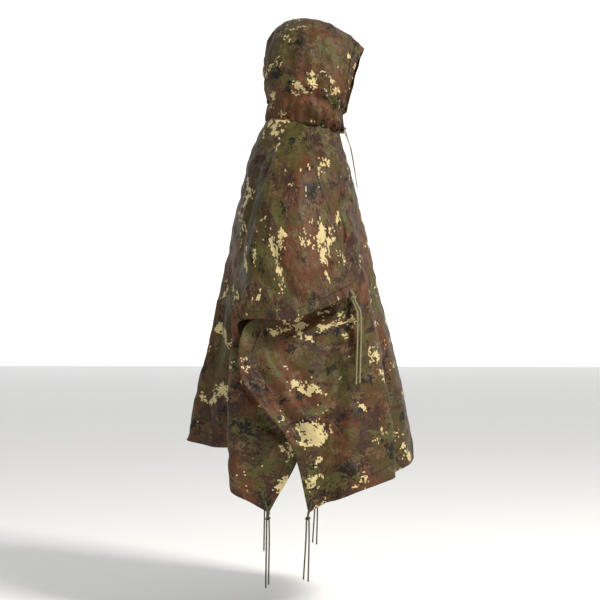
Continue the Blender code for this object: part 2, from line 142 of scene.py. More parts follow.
def cord_curve(name, points, diameter, material):
    """A round cord along points, as one open spline."""
    curve = bpy.data.curves.new(name, "CURVE")
    curve.dimensions = "3D"
    curve.bevel_depth = diameter / 2.0
    curve.bevel_resolution = 3
    curve.use_fill_caps = True
    spline = curve.splines.new("POLY")
    spline.points.add(len(points) - 1)
    for knot, point in zip(spline.points, points):
        knot.co = (*point, 1.0)
    curve.materials.append(material)
    cord = bpy.data.objects.new(name, curve)
    bpy.context.scene.collection.objects.link(cord)
    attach(cord, "root")
    return cord


def smoothed(points, count):
    """count points along a rounded line through a few points."""
    points = np.array([tuple(point) for point in points])
    for _ in range(3):
        middle = np.repeat(points, 2, axis=0)
        middle[1:-1:2] = 0.75 * points[:-1] + 0.25 * points[1:]
        middle[2:-1:2] = 0.25 * points[:-1] + 0.75 * points[1:]
        points = middle
    steps = np.concatenate(([0.0], np.cumsum(np.linalg.norm(np.diff(points, axis=0), axis=1))))
    marks = np.linspace(0.0, steps[-1], count)
    return np.column_stack([np.interp(marks, steps, points[:, axis]) for axis in range(3)])


def box_centre(node):
    """The middle of a CAD node's box."""
    low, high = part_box(node)
    return (np.array(low) + np.array(high)) / 2.0


def knot_points(centre, radius):
    """An overhand knot's line: a trefoil drawn tight round the cord's own direction."""
    turns = np.linspace(0.0, 2.0 * math.pi, 40)
    ring = radius * (1.0 + 0.45 * np.cos(3.0 * turns))
    height = 0.75 * radius * np.sin(3.0 * turns)
    loops = np.column_stack((ring * np.cos(2.0 * turns), ring * np.sin(2.0 * turns), height))
    return loops + np.array(centre)


def hanging_points(centre, number, drifts, diameter, knot_radius, side):
    """A free strand's line, from just below its knot to its end."""
    start = centre + np.array((0.0, (number - 0.5) * -1.5 * diameter, -knot_radius - 0.0008))
    drifted = [centre + np.array((-side * out, -fore, up)) for out, fore, up in drifts]
    middle = 0.5 * (start + drifted[0])
    return smoothed([start, middle, *drifted], 40)


corner_braid = cord_material("corner_braid", CORNER_TIE_COLOUR)
hand_braid = cord_material("hand_braid", HAND_TIE_COLOUR)
for tie_name, hang, *strands in TIES:
    tie_braid = corner_braid if hang else hand_braid
    for side_name, side in (("right", 1.0), ("left", -1.0)):
        place_name = f"{tie_name}_{side_name}"
        knot_centre = box_centre(f"tie_knot_{place_name}")
        for number, drifts in enumerate(strands):
            letter = "ab"[number]
            points = hanging_points(knot_centre, number, drifts, TIE_DIAMETER, TIE_KNOT_DROP, side)
            strand_name = f"tie_strand_{letter}_{place_name}"
            strand = cord_curve(strand_name, points, TIE_DIAMETER, tie_braid)
            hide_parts(f"tie_{letter}_{place_name}")
        knot_line = knot_points(knot_centre, TIE_KNOT_RADIUS)
        knot = cord_curve(f"overhand_knot_{place_name}", knot_line, TIE_KNOT_CORD, tie_braid)
        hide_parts(f"tie_knot_{place_name}")
        # the loop: up from the knot, through the eyelet along its own axis and, at a corner, back down
        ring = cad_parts[f"eyelet_{place_name}"]
        rim = np.array([ring.matrix_world @ vert.co for vert in ring.data.vertices])
        eyelet = box_centre(f"eyelet_{place_name}")
        normal = np.linalg.svd(rim - rim.mean(axis=0))[2][2]
        normal *= math.copysign(1.0, -side * normal[0])
        top = knot_centre + np.array((0.0, 0.0, LOOP_ABOVE_KNOT))
        route = [top + LOOP_NEAR * normal]
        route += [eyelet + reach * normal for reach in (LOOP_FAR, LOOP_NEAR, -LOOP_NEAR, -LOOP_FAR)]
        if hang:
            tip = knot_centre - np.array((-side * hang[0], -hang[1], hang[2]))
            route.insert(1, tip + LOOP_AT_TIP * normal)
            route += [tip - LOOP_AT_TIP * normal, top - LOOP_NEAR * normal]
        loop = cord_curve(f"loop_{place_name}", smoothed(route, 40), TIE_DIAMETER, tie_braid)
        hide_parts(f"tie_loop_{place_name}")

# ---- Body: an oblong of proofed ripstop, its front and back halves felled together over the shoulders ----
# 1.45 m wide and 2.2 m long on the flat, with an oval neck hole. The back's side edges curve forward over
# the bent arms as a sleeve's rim; below them the front's edges lap over the back's. Hems are turned and sewn.
HALF_WIDTH = 0.725
NECK_HALF_WIDTH = 0.100
NECK_HALF_DEPTH = 0.106
NECK_TILT = 0.014
LEFT_LEAN = 0.050
HALF_LENGTH = 1.10
HEM_THICKNESS = 0.0024
SINGLE_CLOTH_SHARE = 0.4
SIDE_HEM = 0.026
END_HEM = 0.040
SEAM_FROM_SHOULDER_LINE = 0.003
HALF_STITCH_WIDTH = 0.0008
FRONT = (
    # name, across, neck turn or shoulder-line place,
    # then down the cloth to the hem
    ("centre", 0.0, 0.0,
     (0.000, 0.144, -0.141), (0.000, 0.186, -0.318), (0.000, 0.207, -0.414),
     (0.000, 0.291, -0.764), (0.000, 0.334, -0.992)),
    ("breast", 0.13, 45.0,
     (0.080, 0.133, -0.144), (0.105, 0.178, -0.320), (0.115, 0.198, -0.414),
     (0.150, 0.274, -0.772), (0.165, 0.308, -1.012)),
    ("neck_side", 0.25, 90.0,
     (0.155, 0.108, -0.176), (0.185, 0.155, -0.346), (0.205, 0.178, -0.444),
     (0.262, 0.230, -0.815), (0.285, 0.238, -1.043)),
    ("shoulder", 0.38, (0.205, 0.026, -0.087),
     (0.205, 0.089, -0.237), (0.232, 0.141, -0.416), (0.262, 0.167, -0.525),
     (0.318, 0.182, -0.848), (0.345, 0.171, -1.062)),
    ("forearm", 0.54, (0.275, 0.099, -0.304),
     (0.240, 0.127, -0.445), (0.262, 0.133, -0.559), (0.292, 0.108, -0.666),
     (0.350, 0.109, -0.883), (0.362, 0.104, -1.088)),
    ("near_edge", 0.66, (0.290, 0.145, -0.434),
     (0.262, 0.039, -0.559), (0.318, -0.049, -0.641), (0.345, -0.070, -0.710),
     (0.376, 0.035, -0.903), (0.368, 0.062, -1.102)),
    ("edge", 0.725, (0.300, 0.168, -0.508),
     (0.318, -0.035, -0.576), (0.356, -0.140, -0.596), (0.378, -0.164, -0.695),
     (0.394, -0.009, -0.941), (0.365, 0.033, -1.119)),
)
BACK = (
    # name, across, neck turn or shoulder-line place,
    # then down the cloth to the hem
    ("centre", 0.0, 180.0,
     (0.000, -0.141, -0.062), (0.000, -0.195, -0.273), (0.000, -0.220, -0.381),
     (0.000, -0.298, -0.729), (0.000, -0.348, -0.946)),
    ("blade", 0.13, 135.0,
     (0.090, -0.132, -0.082), (0.105, -0.178, -0.287), (0.105, -0.196, -0.398),
     (0.095, -0.232, -0.737), (0.095, -0.259, -0.959)),
    ("neck_side", 0.25, 90.0,
     (0.165, -0.101, -0.095), (0.185, -0.161, -0.308), (0.185, -0.172, -0.415),
     (0.150, -0.166, -0.735), (0.145, -0.146, -0.963)),
    ("shoulder", 0.38, (0.205, 0.026, -0.087),
     (0.265, -0.055, -0.200), (0.300, -0.129, -0.369), (0.285, -0.156, -0.491),
     (0.225, -0.135, -0.789), (0.215, -0.089, -1.003)),
    ("forearm", 0.54, (0.275, 0.099, -0.304),
     (0.358, 0.003, -0.391), (0.350, -0.132, -0.477), (0.318, -0.171, -0.587),
     (0.325, -0.173, -0.919), (0.315, -0.176, -1.061)),
    ("near_edge", 0.66, (0.290, 0.145, -0.434),
     (0.385, -0.012, -0.514), (0.352, -0.171, -0.553), (0.322, -0.179, -0.666),
     (0.352, -0.075, -0.934), (0.340, -0.127, -1.095)),
    ("edge", 0.725, (0.300, 0.168, -0.508),
     (0.392, -0.017, -0.578), (0.354, -0.166, -0.591), (0.308, -0.132, -0.683),
     (0.364, 0.015, -0.918), (0.355, -0.078, -1.121)),
)
HALVES = {"front": FRONT, "back": BACK}
EDGE = len(FRONT) - 1
NECK_SIDE = 2
FOLDS = {
    "front": (
        # name, route, width, height
        ("shoulder_valley", ((1.8, 0.02), (2.2, 0.08), (2.6, 0.10), (2.9, 0.14)), 0.019, -0.022),
        ("sleeve_valley", ((2.2, 0.24), (2.7, 0.28), (2.8, 0.34), (3.0, 0.40)), 0.021, -0.022),
        ("chest_valley", ((2.1, 0.38), (2.3, 0.48), (2.4, 0.58), (2.6, 0.68)), 0.019, -0.019),
        ("side_trough", ((3.9, 0.48), (3.9, 0.58), (4.0, 0.76), (4.2, 0.92), (4.3, 1.00)), 0.026, -0.036),
        ("side_ridge", ((4.3, 0.44), (4.3, 0.60), (4.6, 0.72), (4.9, 0.90)), 0.020, 0.012),
        ("front_trough", ((3.8, 0.38), (3.5, 0.54), (3.3, 0.72)), 0.022, -0.024),
        ("pleat_ridge", ((5.4, 0.40), (4.9, 0.52), (4.9, 0.64), (4.8, 0.74)), 0.016, 0.024),
        ("pleat_under", ((5.4, 0.46), (5.2, 0.56), (5.4, 0.68), (5.4, 0.76)), 0.015, -0.019),
        ("pleat_over", ((5.0, 0.40), (4.7, 0.50), (4.6, 0.62), (4.4, 0.72)), 0.018, -0.018),
        ("lip_crease", ((5.8, 0.46), (5.5, 0.42), (5.2, 0.40)), 0.013, -0.014),
        ("chest_drape", ((1.0, 0.28), (1.1, 0.52), (1.2, 0.76), (1.2, 1.00)), 0.038, -0.022),
        ("hem_drape", ((1.7, 0.74), (1.6, 0.88), (1.7, 1.00)), 0.022, 0.014),
    ),
    "back": (
        # name, route, width, height
        ("arm_back", ((1.7, 0.12), (2.1, 0.24), (2.2, 0.34), (2.0, 0.46)), 0.022, -0.026),
        ("shoulder_crease", ((1.7, 0.06), (2.3, 0.16), (2.5, 0.24)), 0.016, -0.014),
        ("elbow_crease", ((3.5, 0.26), (4.1, 0.24), (4.8, 0.22), (5.4, 0.18)), 0.017, -0.019),
        ("elbow_crease_low", ((3.6, 0.32), (4.5, 0.28), (5.0, 0.24)), 0.015, -0.014),
        ("rim_roll", ((5.5, 0.36), (5.5, 0.32), (5.3, 0.26), (5.1, 0.22)), 0.015, 0.009),
        ("back_roll", ((3.3, 0.60), (3.6, 0.76), (3.8, 0.86), (4.3, 1.00)), 0.030, 0.022),
        ("back_hollow", ((2.2, 0.56), (2.1, 0.74), (2.0, 0.86), (2.1, 1.00)), 0.042, -0.030),
        ("back_drape", ((0.6, 0.42), (0.5, 0.62), (0.6, 0.80), (0.6, 1.00)), 0.034, -0.024),
        ("strip_high", ((1.1, 0.78), (1.4, 0.74), (1.8, 0.72)), 0.014, -0.012),
        ("strip_low", ((0.7, 0.84), (1.0, 0.82), (1.5, 0.80)), 0.014, -0.012),
        ("corner_crease", ((5.0, 0.72), (5.1, 0.76), (5.5, 0.78)), 0.016, -0.018),
    ),
}
FOLD_SAMPLES = 15
FOLD_REACH = 1.6
COLUMNS = 96
ROWS = 60
MOUTH_LINE = 4.0
MOUTH_SHARE = 0.29
MOUTH_LIFT_RIGHT = 0.011
MOUTH_LIFT_LEFT = 0.020


def place(out, fore, up):
    """A point on the wearer's right, from its place out, fore and up."""
    return np.array((-out, -fore, up))


def neck_point(turn):
    """A point of the oval neck seam, turn degrees round from the front."""
    angle = math.radians(turn)
    return place(
        NECK_HALF_WIDTH * math.sin(angle),
        NECK_HALF_DEPTH * math.cos(angle),
        -NECK_TILT * math.cos(angle),
    )


def mirrored(knots):
    return knots * np.array((-1.0, 1.0, 1.0))


@lru_cache(maxsize=None)
def line_knots(half, number):
    """The knots of a section line; past the centre line they are its neighbour's, mirrored."""
    _, _, start, *places = HALVES[half][abs(number)]
    first = neck_point(start) if isinstance(start, float) else place(*start)
    knots = np.array([first] + [place(*spot) for spot in places])
    return mirrored(knots) if number < 0 else knots


@lru_cache(maxsize=None)
def line_quartet(half, base):
    """Four section lines in a row; past the side edge the cloth runs straight on."""
    before, start, end = (line_knots(half, base + step) for step in (-1, 0, 1))
    after = line_knots(half, base + 2) if base + 2 <= EDGE else 2.0 * end - start
    return before, start, end, after


def between(before, start, end, after, share):
    """Points that share of the way from start to end, on smooth curves through four rows of knots."""
    steps = (start - before, end - start, after - end)
    spans = [np.linalg.norm(step, axis=1)[:, None] + 1e-4 for step in steps]
    slopes = [(start - before) / spans[0], (end - start) / spans[1], (after - end) / spans[2]]
    leave = (slopes[0] * spans[1] + slopes[1] * spans[0]) / (spans[0] + spans[1])
    arrive = (slopes[1] * spans[2] + slopes[2] * spans[1]) / (spans[1] + spans[2])
    rise = share * share * (3.0 - 2.0 * share)
    bend = leave * share * (1.0 - share) ** 2 + arrive * share * share * (share - 1.0)
    return (1.0 - rise) * start + rise * end + spans[1] * bend


def smooth_through(knots, share):
    """The point at that share of the way along a smooth curve through knots, paced by their spacing."""
    spans = np.linalg.norm(np.diff(knots, axis=0), axis=1) + 1e-6
    marks = np.concatenate(([0.0], np.cumsum(spans))) / spans.sum()
    slopes = np.gradient(knots, marks, axis=0)
    index = int(np.clip(np.searchsorted(marks, share) - 1, 0, len(spans) - 1))
    width = marks[index + 1] - marks[index]
    local = (share - marks[index]) / width
    rise = local * local * (3.0 - 2.0 * local)
    leave = local * (1.0 - local) ** 2
    arrive = local * local * (local - 1.0)
    return (
        (1.0 - rise) * knots[index]
        + rise * knots[index + 1]
        + width * (leave * slopes[index] + arrive * slopes[index + 1])
    )


@lru_cache(maxsize=None)
def knots_at(half, line):
    """The knots of a line between two section lines, from the oval neck seam or the shoulder line."""
    base = min(int(line), EDGE - 1)
    knots = between(*line_quartet(half, base), line - base)
    if line < NECK_SIDE:
        turns = [row[2] for row in HALVES[half][: NECK_SIDE + 1]]
        knots[0] = neck_point(np.interp(line, range(NECK_SIDE + 1), turns))
    else:
        knots[0] = np.mean([between(*line_quartet(name, base), line - base)[0] for name in HALVES], axis=0)
    return knots


def plain_point(half, line, share):
    """The cloth before its folds, at a section line's number and share of the way down to the hem."""
    return smooth_through(knots_at(half, line), share)


def outwards(where, half, line, share, step=0.02):
    """The unit direction out of the cloth's face, for cloth given as a function of line and share."""
    across = where(half, line + step, share) - where(half, max(line - step, 0.0), share)
    down = where(half, line, min(share + step, 1.0)) - where(half, line, max(share - step, 0.0))
    square = np.cross(across, down) if half == "front" else np.cross(down, across)
    return square / np.linalg.norm(square)


@lru_cache(maxsize=None)
def fold_path(half, number):
    """Evenly paced points of a fold's crest, on the cloth before its folds."""
    route = np.array(FOLDS[half][number][1])
    marks = np.linspace(0.0, len(route) - 1.0, FOLD_SAMPLES)
    lines = np.interp(marks, range(len(route)), route[:, 0])
    shares = np.interp(marks, range(len(route)), route[:, 1])
    return np.array([plain_point(half, line, share) for line, share in zip(lines, shares)])


def fold_rise(half, point, line):
    """How far all the folds together lift the cloth out of its face at a point."""
    rise = 0.0
    for number, (_, route, width, height) in enumerate(FOLDS[half]):
        lines = [spot[0] for spot in route]
        if not min(lines) - FOLD_REACH < line < max(lines) + FOLD_REACH:
            continue
        apart = np.linalg.norm(fold_path(half, number) - point, axis=1)
        nearest = int(apart.argmin())
        fade = math.sin(math.pi * (nearest + 1.0) / (FOLD_SAMPLES + 1.0)) ** 0.5
        if max(spot[1] for spot in route) >= 1.0 and nearest > FOLD_SAMPLES // 2:
            fade = 1.0
        rise += height * fade * math.exp(-((apart[nearest] / width) ** 2))
    return rise


def cloth_point(half, line, share):
    """A point of the cloth with its folds."""
    point = plain_point(half, line, share)
    rise = fold_rise(half, point, line)
    return point + outwards(plain_point, half, line, share) * rise if abs(rise) > 1e-5 else point


def side_point(half, line, share):
    """A point of the cloth on either side: left lines are below zero, their back corner further back."""
    point = cloth_point(half, abs(line), share)
    if line >= 0.0:
        return point
    lean = LEFT_LEAN * (line / EDGE) ** 2 * share**3 if half == "back" else 0.0
    return mirrored(point) + np.array((0.0, lean, 0.0))


def body_place(half, line, share):
    """A point of the body; the front's edge stands up a little inside each sleeve mouth."""
    point = side_point(half, line, share)
    if half == "front" and abs(line) > MOUTH_LINE:
        lift = MOUTH_LIFT_RIGHT if line > 0.0 else MOUTH_LIFT_LEFT
        rise = math.exp(-(((share - MOUTH_SHARE) / 0.08) ** 2))
        point[2] += lift * (abs(line) - MOUTH_LINE) / (EDGE - MOUTH_LINE) * rise
    return point


body_form = bmesh.new()
uv_layer = body_form.loops.layers.uv.new("cut")
flat_places = {}
for half, lengthways in (("front", -1.0), ("back", 1.0)):
    across_marks = [row[1] for row in HALVES[half]]
    grid = bmesh.ops.create_grid(body_form, x_segments=COLUMNS, y_segments=ROWS, size=0.5)
    for vert in grid["verts"]:
        share = vert.co.y + 0.5
        line = EDGE * (2.0 * (vert.co.x + 0.5) - 1.0)
        across = math.copysign(np.interp(abs(line), range(EDGE + 1), across_marks), line)
        flat_places[vert] = (across, lengthways * share * HALF_LENGTH)
        vert.co = body_place(half, line, share)
for face in body_form.faces:
    for loop in face.loops:
        loop[uv_layer].uv = flat_places[loop.vert]
bmesh.ops.remove_doubles(body_form, verts=body_form.verts, dist=0.0004)
inner = [vert for vert in body_form.verts if not vert.is_boundary]
every_way = {"use_axis_x": True, "use_axis_y": True, "use_axis_z": True}
bmesh.ops.smooth_vert(body_form, verts=inner, factor=0.5, **every_way)
bmesh.ops.recalc_face_normals(body_form, faces=body_form.faces)
body_mesh = bpy.data.meshes.new("body_cloth")
body_form.to_mesh(body_mesh)
body_form.free()
body = bpy.data.objects.new("body_cloth", body_mesh)
bpy.context.scene.collection.objects.link(body)

# the cloth's own flat places in metres, evened out so the printed pattern isn't stretched
bpy.ops.object.select_all(action="DESELECT")
body.select_set(True)
bpy.context.view_layer.objects.active = body
body_mesh.uv_layers.active = body_mesh.uv_layers.new(name="pattern")
bpy.ops.object.mode_set(mode="EDIT")
bpy.ops.mesh.select_all(action="SELECT")
bpy.ops.uv.unwrap(method="MINIMUM_STRETCH", margin=0.0, iterations=12)
bpy.ops.object.mode_set(mode="OBJECT")
pattern_uvs = np.zeros(2 * len(body_mesh.loops))
body_mesh.uv_layers["pattern"].uv.foreach_get("vector", pattern_uvs)
pattern_uvs = pattern_uvs.reshape(-1, 4, 2)
rising = pattern_uvs[:, 2] - pattern_uvs[:, 0]
falling = pattern_uvs[:, 3] - pattern_uvs[:, 1]
pattern_area = 0.5 * np.abs(rising[:, 0] * falling[:, 1] - rising[:, 1] * falling[:, 0]).sum()
cloth_area = sum(polygon.area for polygon in body_mesh.polygons)
pattern_uvs *= math.sqrt(cloth_area / pattern_area)
body_mesh.uv_layers["pattern"].uv.foreach_set("vector", pattern_uvs.ravel())

# small crumples, left by folding the garment away, that fade out towards the hems
uv_of = {}
for loop in body_mesh.loops:
    uv_of[loop.vertex_index] = body_mesh.uv_layers["cut"].data[loop.index].uv
noise.seed_set(1)
normals = [vert.normal.copy() for vert in body_mesh.vertices]
for vert in body_mesh.vertices:
    across, along = uv_of[vert.index]
    edge_fade = min(1.0, (HALF_WIDTH - abs(across)) / 0.03, (HALF_LENGTH - abs(along)) / 0.04)
    spot = Vector((across * 6.0, along * 3.2, 0.0))
    bend = noise.noise(spot + 0.8 * noise.noise_vector(spot * 0.7))
    crease = 1.0 - abs(noise.noise(Vector((across * 13.0 + 5.0, along * 8.0, 3.0)))) * 2.0
    vert.co += normals[vert.index] * edge_fade * (0.006 * bend + 0.0025 * crease)

# the cloth drapes a little between its edges, which are held, and is thicker where its hems are turned
edge_verts = set()
edge_uses = {}
for polygon in body_mesh.polygons:
    for key in polygon.edge_keys:
        edge_uses[key] = edge_uses.get(key, 0) + 1
for key, uses in edge_uses.items():
    if uses == 1:
        edge_verts.update(key)
pins = body.vertex_groups.new(name="pins")
for vert in body_mesh.vertices:
    pins.add([vert.index], 1.0 if vert.index in edge_verts else 0.35, "REPLACE")
hems = body.vertex_groups.new(name="hems")
for vert in body_mesh.vertices:
    across, along = uv_of[vert.index]
    in_hem = min(HALF_WIDTH - abs(across), (HALF_LENGTH - abs(along)) * 0.65) < 0.027
    hems.add([vert.index], 1.0 if in_hem else SINGLE_CLOTH_SHARE, "REPLACE")
SETTLE_FRAMES = 24
settle = body.modifiers.new("settle", "CLOTH")
settle.settings.vertex_group_mass = "pins"
settle.settings.pin_stiffness = 0.6
settle.settings.shrink_min = -0.035
settle.settings.mass = 0.1
settle.settings.tension_stiffness = 12.0
settle.settings.compression_stiffness = 12.0
settle.settings.shear_stiffness = 4.0
settle.settings.bending_stiffness = 0.05
settle.settings.quality = 5
settle.settings.effector_weights.gravity = 0.2
settle.point_cache.frame_start = 1
settle.point_cache.frame_end = SETTLE_FRAMES
for number in range(1, SETTLE_FRAMES + 1):
    bpy.context.scene.frame_set(number)
settled = body.evaluated_get(bpy.context.evaluated_depsgraph_get())
places = np.array([vert.co[:] for vert in settled.data.vertices])
body.modifiers.remove(settle)
body_mesh.vertices.foreach_set("co", places.ravel())
body_mesh.update()
bpy.context.scene.frame_set(1)

finer = body.modifiers.new("finer", "SUBSURF")
finer.levels = 1
finer.render_levels = 1
wall = body.modifiers.new("wall", "SOLIDIFY")
wall.thickness = HEM_THICKNESS
wall.vertex_group = "hems"
wall.offset = 0.0
for modifier_name in ("finer", "wall"):
    bpy.ops.object.modifier_apply(modifier=modifier_name)
body_mesh.shade_smooth()


def hem_seam(material):
    """1 on the sewn lines: inside the side edges, above the hem, and twice along the shoulders; else 0."""
    cut_places = add_node(material, "ShaderNodeUVMap", uv_map="cut").outputs["UV"]
    parts = add_node(material, "ShaderNodeSeparateXYZ", {0: cut_places})
    sideways = add_math(material, "ABSOLUTE", parts.outputs["X"])
    lengthways = add_math(material, "ABSOLUTE", parts.outputs["Y"])
    side_line = add_math(material, "COMPARE", sideways, HALF_WIDTH - SIDE_HEM, HALF_STITCH_WIDTH)
    end_line = add_math(material, "COMPARE", lengthways, HALF_LENGTH - END_HEM, HALF_STITCH_WIDTH)
    shoulder_line = add_math(material, "COMPARE", lengthways, SEAM_FROM_SHOULDER_LINE, HALF_STITCH_WIDTH)
    return add_math(material, "MAXIMUM", add_math(material, "MAXIMUM", side_line, end_line), shoulder_line)


BRICK = (0.080, 0.029, 0.011)
STITCHING = (0.014, 0.011, 0.006)
PATTERN_STEP = 0.0042
PATCHES = (
    # name, colour, where its noise starts, the noise's scale, low and high limits, stretch and roughness
    ("olive_brown", (0.048, 0.036, 0.010), 1.0, 3.6, 0.47, 0.53, 1.0, 0.80),
    ("dark_brown", (0.036, 0.016, 0.010), 7.3, 6.0, 0.52, 0.54, 1.0, 0.80),
    ("green", (0.060, 0.056, 0.014), 11.0, 8.5, 0.545, 0.55, 1.3, 0.80),
    ("tan", (0.095, 0.058, 0.026), 23.0, 14.0, 0.565, 0.57, 1.3, 0.80),
    ("black", (0.008, 0.007, 0.003), 3.0, 10.0, 0.565, 0.57, 1.3, 0.80),
    ("sand", (0.46, 0.38, 0.19), 19.0, 8.0, 0.578, 0.582, 1.25, 0.76),
)


def camouflage(name, sewn):
    """Digital camouflage of seven colours in 4.2 mm steps on ripstop; the UVs are metres on the flat."""
    material, shader = node_tree(name, (0.1, 0.06, 0.03), 0.56)
    flat = add_node(material, "ShaderNodeUVMap", uv_map="pattern").outputs["UV"]
    steps = {0: flat, 1: (PATTERN_STEP, PATTERN_STEP, 1.0)}
    snapped = add_node(material, "ShaderNodeVectorMath", steps, operation="SNAP").outputs["Vector"]

    def patches(start, scale, low, high, stretch, roughness):
        """1 where the noise on the stepped places is past its limits, else 0."""
        shift = {"Vector": snapped, "Location": (start, 0.37 * start, 0.0), "Scale": (1.0, stretch, 1.0)}
        moved = add_node(material, "ShaderNodeMapping", shift).outputs["Vector"]
        grain = {"Vector": moved, "Scale": scale, "Detail": 9.0, "Roughness": roughness}
        texture = add_node(material, "ShaderNodeTexNoise", grain).outputs["Fac"]
        limits = {"Value": texture, "From Min": low, "From Max": high}
        return add_node(material, "ShaderNodeMapRange", limits).outputs["Result"]

    def mixed(share, under, over):
        """One colour over another, each a plain colour or a socket."""
        mix = add_node(material, "ShaderNodeMix", {"Factor": share}, data_type="RGBA")
        for socket, value in ((6, under), (7, over)):
            if isinstance(value, bpy.types.NodeSocket):
                material.node_tree.links.new(value, mix.inputs[socket])
            else:
                mix.inputs[socket].default_value = (*value, 1.0)
        return mix.outputs[2]

    colour = BRICK
    for _, patch_colour, *settings in PATCHES:
        colour = mixed(patches(*settings), colour, patch_colour)
    creases = {"Vector": flat, "Scale": 17.0, "Detail": 4.0, "Roughness": 0.5, "Distortion": 1.6}
    crumple = add_node(material, "ShaderNodeTexNoise", creases).outputs["Fac"]
    threads = {"Vector": flat, "Scale": 190.0}
    weave = add_node(material, "ShaderNodeTexVoronoi", threads, distance="CHEBYCHEV").outputs["Distance"]
    height = add_math(material, "MULTIPLY_ADD", weave, 0.03, crumple)
    if sewn:
        seam = hem_seam(material)
        colour = mixed(seam, colour, STITCHING)
        height = add_math(material, "MULTIPLY_ADD", seam, -0.12, height)
    material.node_tree.links.new(colour, shader.inputs["Base Color"])
    shader.inputs["Specular IOR Level"].default_value = 0.20
    add_bump(material, shader, height, 0.8, 0.010)
    return material


body_mesh.materials.append(camouflage("ripstop_camouflage", True))
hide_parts("front_panel", "back_panel")
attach(body, "root")

# ---- Hood: two mirrored panels of the same ripstop, and the turned casing round the face ----
# The panels are felled together over the crown and down the back and gathered into the neck seam, tucked
# inside the body's neck edge. The casing is the panels' front edge, turned back and sewn down.
HOOD_THICKNESS = 0.0010
CASING_THICKNESS = 0.0022
CASING_WIDTH = 0.45
CASING_GAP = 0.012
EDGE_INSET = 0.003
NECK_TUCK = 0.008
FLAT_REACH = 0.42
FLAT_EDGE = 0.62
HOOD = (
    # name, turn, low, high, crown, top
    ("centre_back", 180.0,
     (0.000, -0.108, 0.075), (0.000, -0.113, 0.150), (0.000, -0.113, 0.190), (0.000, -0.108, 0.235)),
    ("back_side", 150.0,
     (0.062, -0.094, 0.068), (0.072, -0.100, 0.150), (0.050, -0.095, 0.225), (0.000, -0.090, 0.277)),
    ("side_back", 120.0,
     (0.108, -0.057, 0.063), (0.115, -0.060, 0.160), (0.080, -0.054, 0.262), (0.000, -0.048, 0.309)),
    ("side", 92.0,
     (0.125, -0.001, 0.058), (0.132, 0.006, 0.165), (0.090, 0.006, 0.275), (0.000, 0.006, 0.320)),
    ("side_front", 62.0,
     (0.124, 0.061, 0.049), (0.127, 0.072, 0.160), (0.087, 0.077, 0.262), (0.000, 0.080, 0.302)),
    ("front_side", 32.0,
     (0.104, 0.108, 0.039), (0.112, 0.122, 0.140), (0.078, 0.135, 0.228), (0.000, 0.143, 0.267)),
    ("face_edge", 8.0,
     (0.070, 0.131, 0.036), (0.088, 0.151, 0.130), (0.062, 0.169, 0.190), (0.000, 0.187, 0.227)),
)
FACE = len(HOOD) - 1


@lru_cache(maxsize=None)
def hood_knots(number):
    """The knots of a hood section, up one side, over the crown and down the other."""
    _, turn, *places = HOOD[abs(number)]
    rise = np.array([neck_point(turn)] + [place(*spot) for spot in places])
    knots = np.concatenate((rise, mirrored(rise[-2::-1])))
    return mirrored(knots) if number < 0 else knots


@lru_cache(maxsize=None)
def hood_quartet(base):
    """Four hood sections in a row; past the face edge the hood runs straight on."""
    before, start, end = (hood_knots(base + step) for step in (-1, 0, 1))
    after = hood_knots(base + 2) if base + 2 <= FACE else 2.0 * end - start
    return before, start, end, after


def hood_point(section, share):
    """A point of the hood: share 0 is the neck seam on the right, 0.5 the crown, 1 the seam on the left."""
    base = min(int(section), FACE - 1)
    return smooth_through(between(*hood_quartet(base), section - base), share)


hood_cloth = camouflage("hood_camouflage", False)


def hood_piece(name, columns, rows, where, flat, thickness):
    """A piece of the hood: a grid of cloth with its places, and its UVs in metres on the flat."""
    form = bmesh.new()
    layer = form.loops.layers.uv.new("pattern")
    bmesh.ops.create_grid(form, x_segments=columns, y_segments=rows, size=0.5)
    for face in form.faces:
        for loop in face.loops:
            loop[layer].uv = flat(loop.vert.co.x + 0.5, loop.vert.co.y + 0.5)
    for vert in form.verts:
        vert.co = where(vert.co.x + 0.5, vert.co.y + 0.5)
    bmesh.ops.recalc_face_normals(form, faces=form.faces)
    mesh = bpy.data.meshes.new(name)
    form.to_mesh(mesh)
    form.free()
    piece = bpy.data.objects.new(name, mesh)
    bpy.context.scene.collection.objects.link(piece)
    bpy.ops.object.select_all(action="DESELECT")
    piece.select_set(True)
    bpy.context.view_layer.objects.active = piece
    hood_wall = piece.modifiers.new("wall", "SOLIDIFY")
    hood_wall.thickness = thickness
    hood_wall.offset = 0.0
    bpy.ops.object.modifier_apply(modifier="wall")
    mesh.shade_smooth()
    mesh.materials.append(hood_cloth)
    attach(piece, "root")
    return piece


